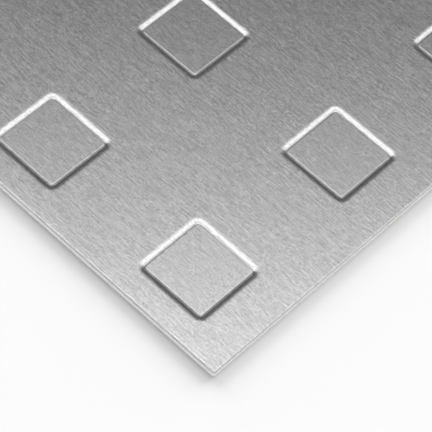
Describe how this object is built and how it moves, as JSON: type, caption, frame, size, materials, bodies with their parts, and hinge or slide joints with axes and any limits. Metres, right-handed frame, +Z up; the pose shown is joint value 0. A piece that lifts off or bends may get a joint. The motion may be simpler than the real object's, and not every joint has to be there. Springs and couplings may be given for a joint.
{
  "type": "embossed metal sheet",
  "caption": "Flat rectangular sheet of brushed metal with a regular grid of squares embossed in its face, each standing level inside a shallow rolled groove. Flat stock for panels and covers.",
  "frame": {"origin": "under the middle of the sheet, on its flat back", "axes": "+X along the length, +Y across the width, +Z up out of the embossed face"},
  "size_m": [0.5, 0.25, 0.0015],
  "materials": {
    "sheet_metal": "satin, long-grain brushed, bare"
  },
  "bodies": {
    "root": {"embossed_sheet": "sheet_metal"}
  },
  "joints": []
}
